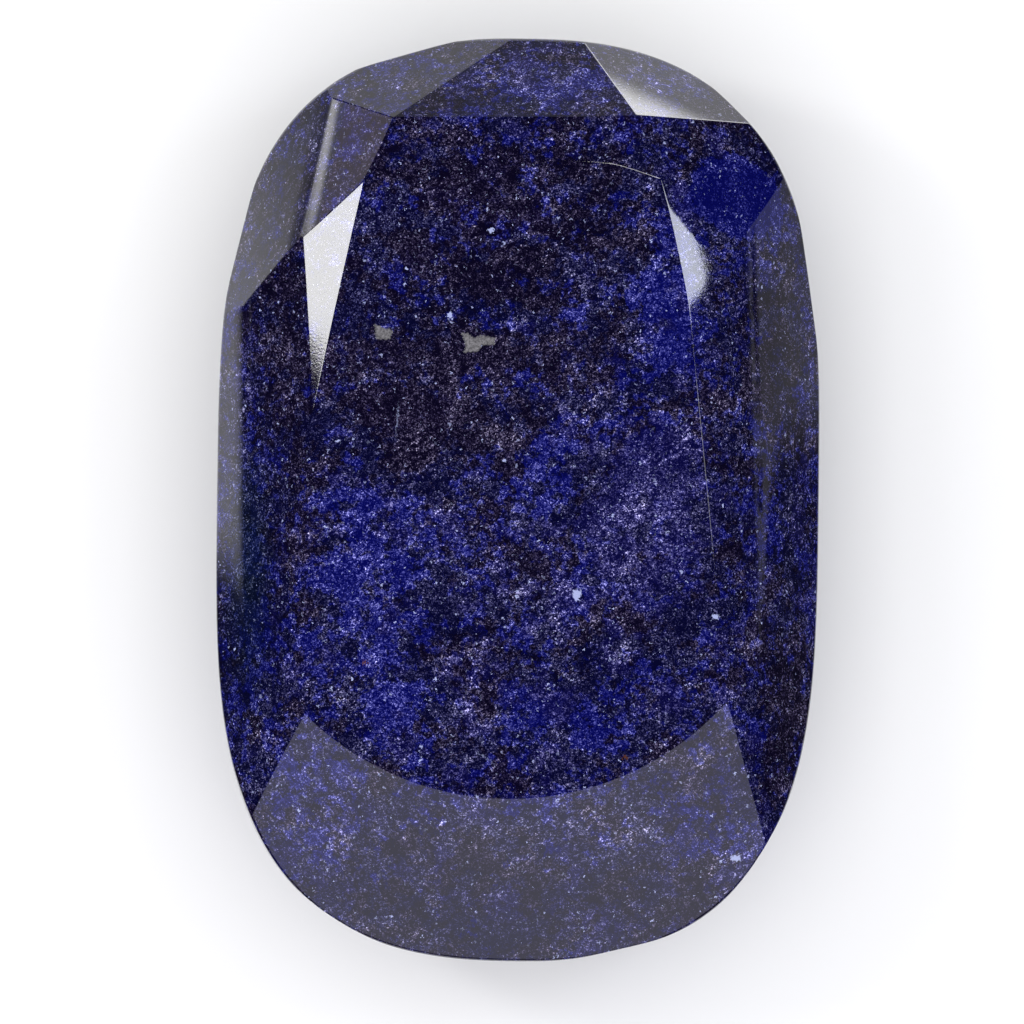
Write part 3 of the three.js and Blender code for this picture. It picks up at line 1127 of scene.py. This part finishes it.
def add_floor(studio):
    """The floor: a square grid at the level of the back facet."""
    steps = FLOOR_STEPS
    line = np.linspace(-FLOOR_HALF, FLOOR_HALF, steps + 1)
    x, y = np.meshgrid(line, line)
    points = np.stack((x, y, np.zeros_like(x)), axis=-1).reshape(-1, 3)
    start = (np.arange(steps)[:, None] * (steps + 1) + np.arange(steps)).ravel()
    faces = np.stack((start, start + 1, start + steps + 2, start + steps + 1), axis=-1)
    mesh = bpy.data.meshes.new("floor")
    mesh.from_pydata(points.tolist(), [], faces.tolist())
    floor = new_object("floor", mesh)
    floor.data.materials.append(plain_material("pale_floor", studio.floor_colour, 0.9))
    floor.location.z = -FLOOR_DROP


def add_camera(studio, shape):
    """The camera looks straight down on the stone from a little off its middle."""
    camera = new_object("camera", bpy.data.cameras.new("camera"))
    camera.data.sensor_width = 36
    camera.data.lens = camera.data.sensor_width * studio.camera_height / VIEW_WIDTH
    camera.location = (CAMERA_X, CAMERA_Y, shape.girdle + studio.camera_height)
    camera.data.clip_start = 0.01
    bpy.context.scene.camera = camera


class SAPPHIRE_OT_stone(bpy.types.Operator):
    """Makes the cut stone in place of the plain one"""

    bl_idname = "sapphire.stone"
    bl_label = "Cut the sapphire"

    def execute(self, context):
        scene = context.scene
        stone = new_object("sapphire_stone", sapphire_mesh(scene.sapphire_shape))
        stone.data.materials.append(sapphire_material(scene.sapphire_finish))
        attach(stone, "root")
        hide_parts("sapphire")
        return {"FINISHED"}


class SAPPHIRE_OT_stage(bpy.types.Operator):
    """Makes the floor, the lights and the camera"""

    bl_idname = "sapphire.stage"
    bl_label = "Set up the studio"

    def execute(self, context):
        scene = context.scene
        scene.view_settings.view_transform = "Standard"
        add_world()
        add_floor(scene.sapphire_studio)
        for card in CARDS:
            add_card(*card)
        for number, card in enumerate(FLOOR_CARDS):
            add_floor_card(*card, lift=(LOWEST_CARD + CARD_STEP * number) * MM)
        for glow in GLOWS:
            add_glow(*glow)
        fill = add_card("fill", *FILL_PLACE, scene.sapphire_studio.fill)
        fill.visible_glossy = False
        add_camera(scene.sapphire_studio, scene.sapphire_shape)
        return {"FINISHED"}


class SAPPHIRE_PT_panel(bpy.types.Panel):
    """Lists the sizes, the finish and the steps"""

    bl_label = "Cut Sapphire"
    bl_idname = "SAPPHIRE_PT_panel"
    bl_space_type = "VIEW_3D"
    bl_region_type = "UI"
    bl_category = "Sapphire"

    def draw(self, context):
        layout = self.layout
        for group in ("sapphire_shape", "sapphire_finish", "sapphire_studio"):
            settings = getattr(context.scene, group)
            box = layout.box()
            for name in settings.__annotations__:
                box.prop(settings, name)
        layout.operator("sapphire.stone")
        layout.operator("sapphire.stage")


CLASSES = (
    SapphireShape, SapphireFinish, SapphireStudio,
    SAPPHIRE_OT_stone, SAPPHIRE_OT_stage, SAPPHIRE_PT_panel,
)


def register():
    for item in CLASSES:
        bpy.utils.register_class(item)
    bpy.types.Scene.sapphire_shape = PointerProperty(type=SapphireShape)
    bpy.types.Scene.sapphire_finish = PointerProperty(type=SapphireFinish)
    bpy.types.Scene.sapphire_studio = PointerProperty(type=SapphireStudio)


def unregister():
    del bpy.types.Scene.sapphire_studio
    del bpy.types.Scene.sapphire_finish
    del bpy.types.Scene.sapphire_shape
    for item in reversed(CLASSES):
        bpy.utils.unregister_class(item)


def main():
    register()
    bpy.ops.sapphire.stage()
    bpy.ops.sapphire.stone()


if __name__ == "__main__":
    main()
